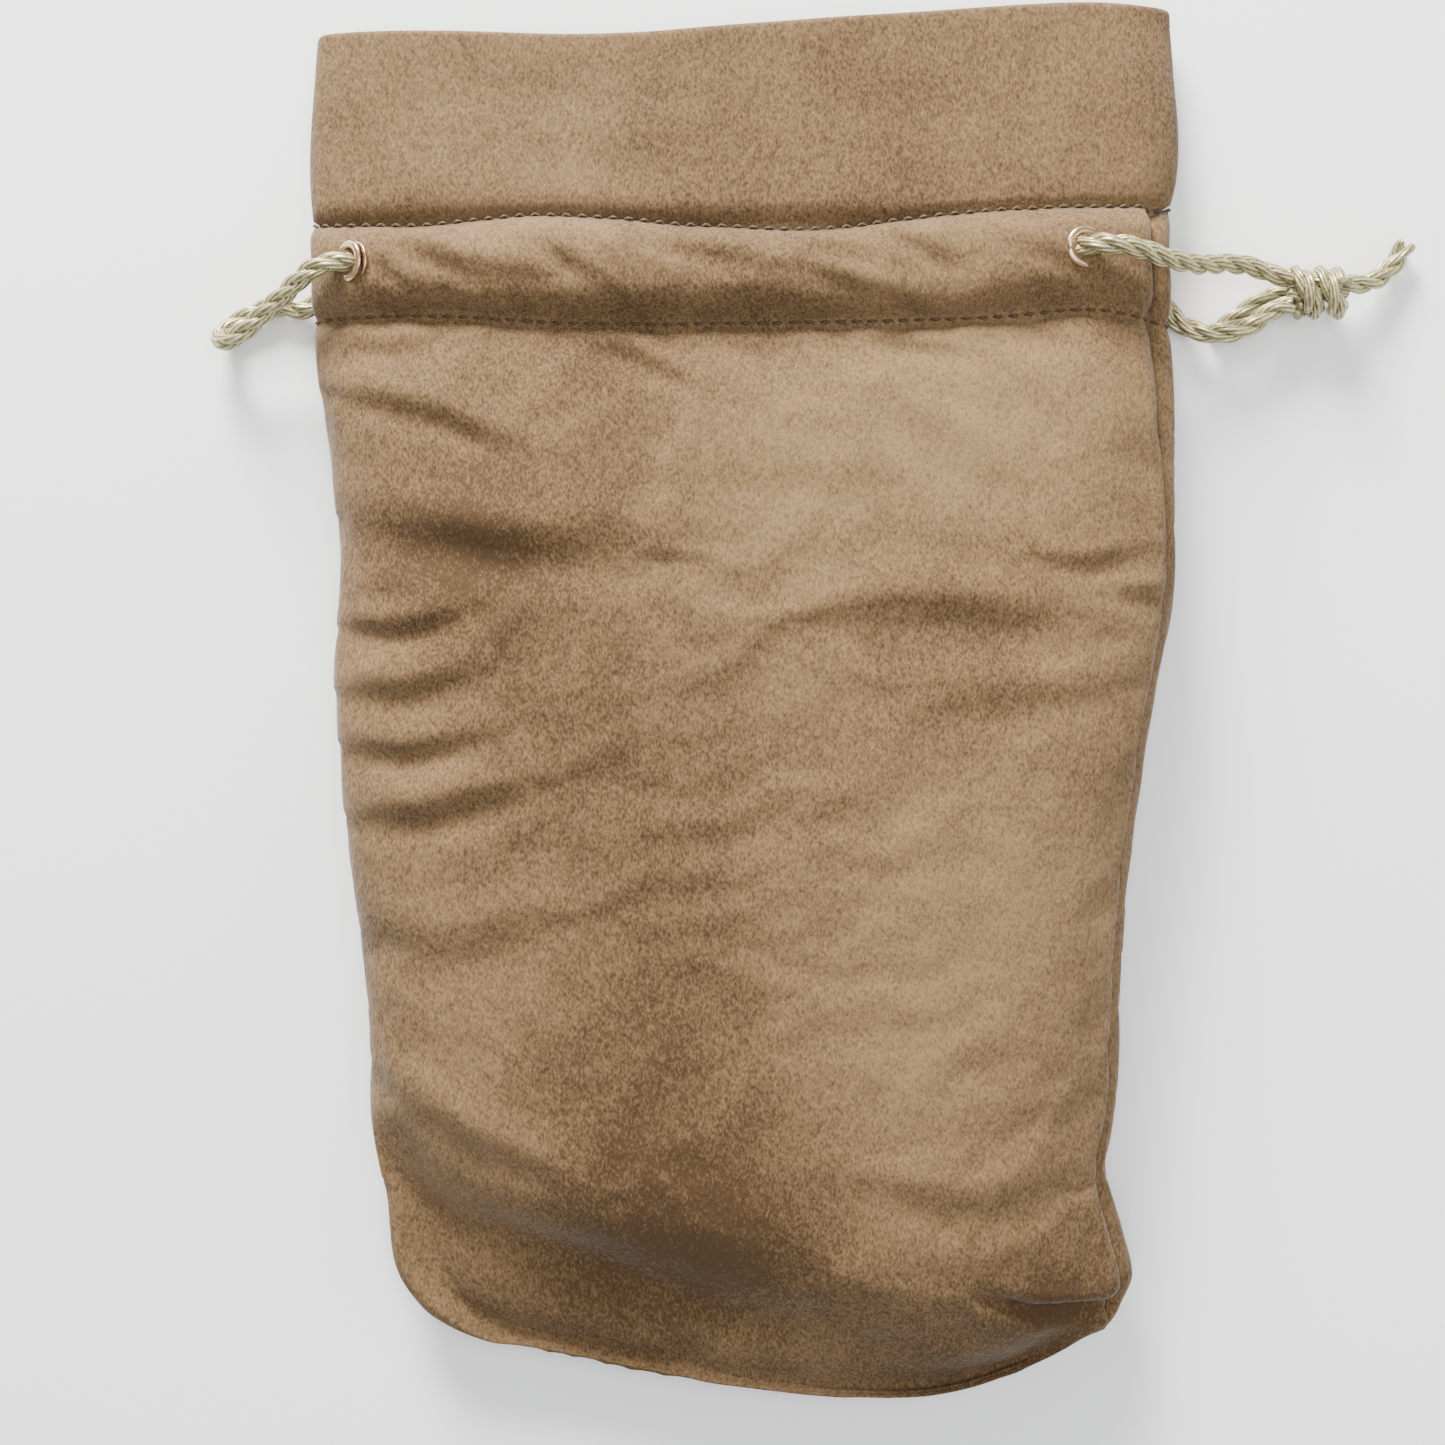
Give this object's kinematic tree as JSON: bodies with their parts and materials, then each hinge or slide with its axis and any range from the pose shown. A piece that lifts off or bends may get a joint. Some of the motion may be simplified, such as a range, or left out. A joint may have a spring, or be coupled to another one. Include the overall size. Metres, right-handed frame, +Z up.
{
  "type": "drawstring gift pouch",
  "caption": "Soft suede-look drawstring gift pouch lying on its back, with a sewn casing, brass eyelets and a twisted metallic cord looped on one side and knotted on the other.",
  "frame": {"origin": "on the table under the middle of the pouch, measured without its cord", "axes": "+Y from the base to the mouth, +Z up through the front face, +X to the side where the cord is knotted"},
  "size_m": [0.2452, 0.28, 0.027],
  "materials": {
    "suede": "napped microfibre suede",
    "thread": "spun thread",
    "brass": "polished",
    "cord": "twisted metallic yarn"
  },
  "bodies": {
    "pouch": {"front_panel": "suede", "back_panel": "suede", "back_header": "suede", "front_facing": "suede", "back_facing": "suede", "left_seam_allowance": "suede", "right_seam_allowance": "suede", "base_seam_allowance": "suede", "left_corner_tuck": "suede", "right_corner_tuck": "suede", "front_upper_stitches": "thread", "front_lower_stitches": "thread", "back_upper_stitches": "thread", "back_lower_stitches": "thread", "left_seam_thread": "thread", "right_seam_thread": "thread", "base_seam_thread": "thread", "front_left_eyelet": "brass", "front_right_eyelet": "brass", "back_left_eyelet": "brass", "back_right_eyelet": "brass", "front_left_washer": "brass", "front_right_washer": "brass", "back_left_washer": "brass", "back_right_washer": "brass", "pull_front_strand": "cord", "drawstring_front_run": "cord", "loop_front_strand": "cord", "loop_back_strand": "cord", "drawstring_back_run": "cord", "pull_back_strand": "cord"},
    "mouth_flap": {"front_header": "suede"},
    "knot_end": {"pull_knot": "cord", "pull_tail": "cord", "pull_tail_tucked": "cord"},
    "loop_end": {"loop_tip": "cord"}
  },
  "joints": [
    {"name": "mouth_opening", "type": "hinge", "parent": "pouch", "child": "mouth_flap", "pos_m": [0, 0.0956, 0.0154], "axis": [1, 0, 0], "range_deg": [0, 40]},
    {"name": "drawstring_pull", "type": "slide", "parent": "pouch", "child": "knot_end", "axis": [1, 0, 0], "range_m": [-0.007, 0.016], "deforming": ["pull_front_strand", "pull_back_strand"]},
    {"name": "loop_pull", "type": "slide", "parent": "pouch", "child": "loop_end", "axis": [0.8682, 0.4962, 0], "range_m": [-0.007, 0.016], "deforming": ["loop_front_strand", "loop_back_strand"]}
  ],
  "couplings": [
    {"joint": "loop_pull", "follows": "drawstring_pull", "ratio": 1}
  ]
}
